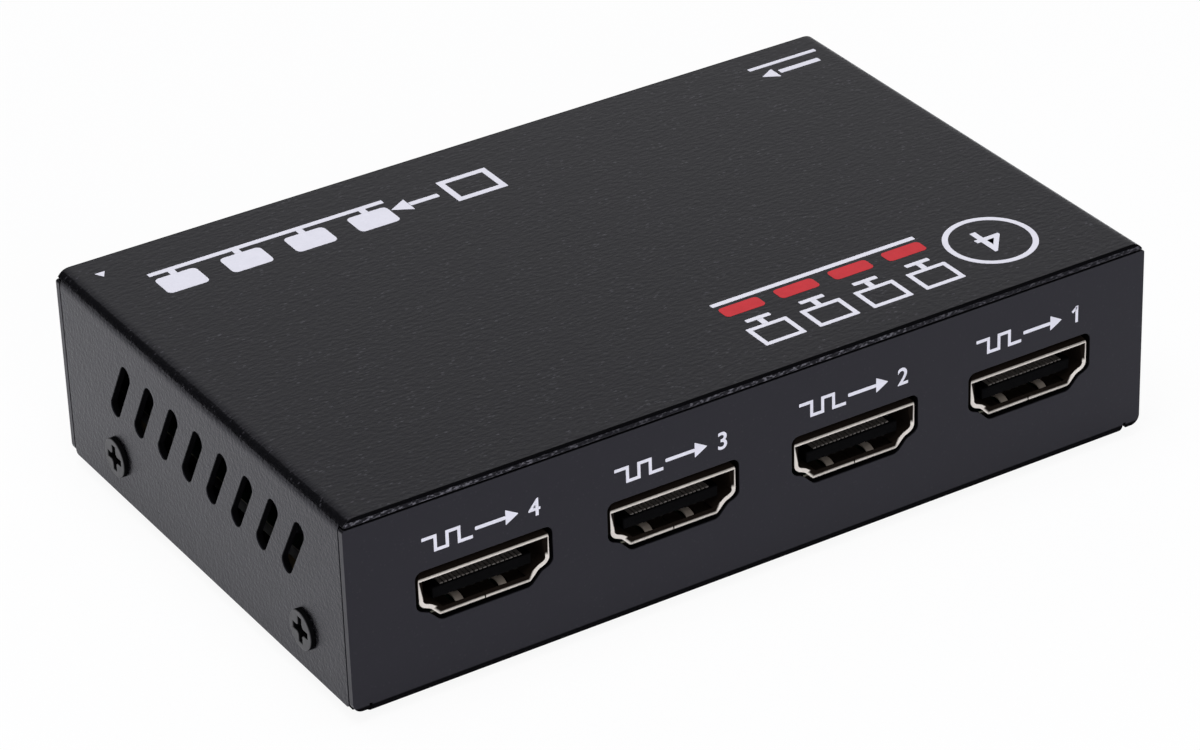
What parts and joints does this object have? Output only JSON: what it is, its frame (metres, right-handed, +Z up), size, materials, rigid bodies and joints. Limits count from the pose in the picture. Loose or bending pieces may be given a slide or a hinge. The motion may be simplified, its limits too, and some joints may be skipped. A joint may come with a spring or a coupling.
{
  "type": "video signal splitter",
  "caption": "Flat black steel box that copies one video input to several outputs, with vented sides, rim sockets, power jack, slide switch and indicator lamps.",
  "frame": {"origin": "centre of the whole part's box, on the surface that its feet stand on", "axes": "+X along the output panel, left to right as seen from the outputs; +Y from the outputs to the input; +Z up"},
  "size_m": [0.098, 0.0626, 0.0236],
  "materials": {
    "cover_steel": "fine textured black powder coat on folded steel",
    "tray_steel": "smooth satin black powder coat on folded steel",
    "black_screws": "black zinc plated steel, satin",
    "foot_rubber": "matt black rubber",
    "standoff_brass": "turned brass",
    "plated_screws": "zinc plated steel",
    "board_laminate": "green solder mask, glossy",
    "chip_epoxy": "matt moulded epoxy",
    "tinned_leads": "tinned, satin",
    "pad_silicone": "soft silicone pad",
    "sink_aluminium": "extruded, satin",
    "inductor_ferrite": "matt ferrite",
    "can_aluminium": "drawn aluminium, satin",
    "moulded_black": "moulded, satin",
    "crystal_steel": "nickel plated can, satin",
    "fuse_laminate": "green laminate",
    "capacitor_ceramic": "fired ceramic",
    "resistor_glaze": "black glaze",
    "plated_contacts": "nickel plated, satin",
    "switch_steel": "nickel plated steel, satin",
    "knob_black": "moulded, satin",
    "lamp_red": "tinted clear epoxy",
    "lamp_green": "tinted clear epoxy",
    "shell_nickel": "nickel plated steel, satin",
    "socket_black": "moulded, matt",
    "gold_contacts": "gold flashed"
  },
  "bodies": {
    "case": {"top_cover": "cover_steel", "base_tray": "tray_steel", "cover_screws": "black_screws", "rubber_feet": "foot_rubber", "board_standoffs": "standoff_brass", "board_screws": "plated_screws", "main_board": "board_laminate", "splitter_chip": "chip_epoxy", "splitter_chip_leads": "tinned_leads", "thermal_pad": "pad_silicone", "heat_sink": "sink_aluminium", "control_chip": "chip_epoxy", "control_chip_leads": "tinned_leads", "memory_chips": "chip_epoxy", "memory_chip_leads": "tinned_leads", "voltage_regulator": "chip_epoxy", "regulator_leads": "tinned_leads", "power_inductor": "inductor_ferrite", "capacitor_cans": "can_aluminium", "capacitor_bases": "moulded_black", "crystal": "crystal_steel", "input_fuse": "fuse_laminate", "surge_guards": "chip_epoxy", "ceramic_capacitors": "capacitor_ceramic", "chip_resistors": "resistor_glaze", "power_jack_housing": "moulded_black", "power_jack_pin": "plated_contacts", "power_jack_contacts": "plated_contacts", "switch_frame": "switch_steel", "switch_base": "moulded_black", "switch_terminals": "plated_contacts", "power_lamp": "lamp_red", "output_lamps": "lamp_green", "lamp_leads": "tinned_leads", "output_1_shell": "shell_nickel", "output_1_insulator": "socket_black", "output_1_contacts": "gold_contacts", "output_2_shell": "shell_nickel", "output_2_insulator": "socket_black", "output_2_contacts": "gold_contacts", "output_3_shell": "shell_nickel", "output_3_insulator": "socket_black", "output_3_contacts": "gold_contacts", "output_4_shell": "shell_nickel", "output_4_insulator": "socket_black", "output_4_contacts": "gold_contacts", "input_shell": "shell_nickel", "input_insulator": "socket_black", "input_contacts": "gold_contacts"},
    "switch_slide": {"switch_slider": "knob_black", "switch_wiper": "plated_contacts"}
  },
  "joints": [
    {"name": "power_switch", "type": "slide", "parent": "case", "child": "switch_slide", "axis": [1, 0, 0], "range_m": [0, 0.002]}
  ]
}
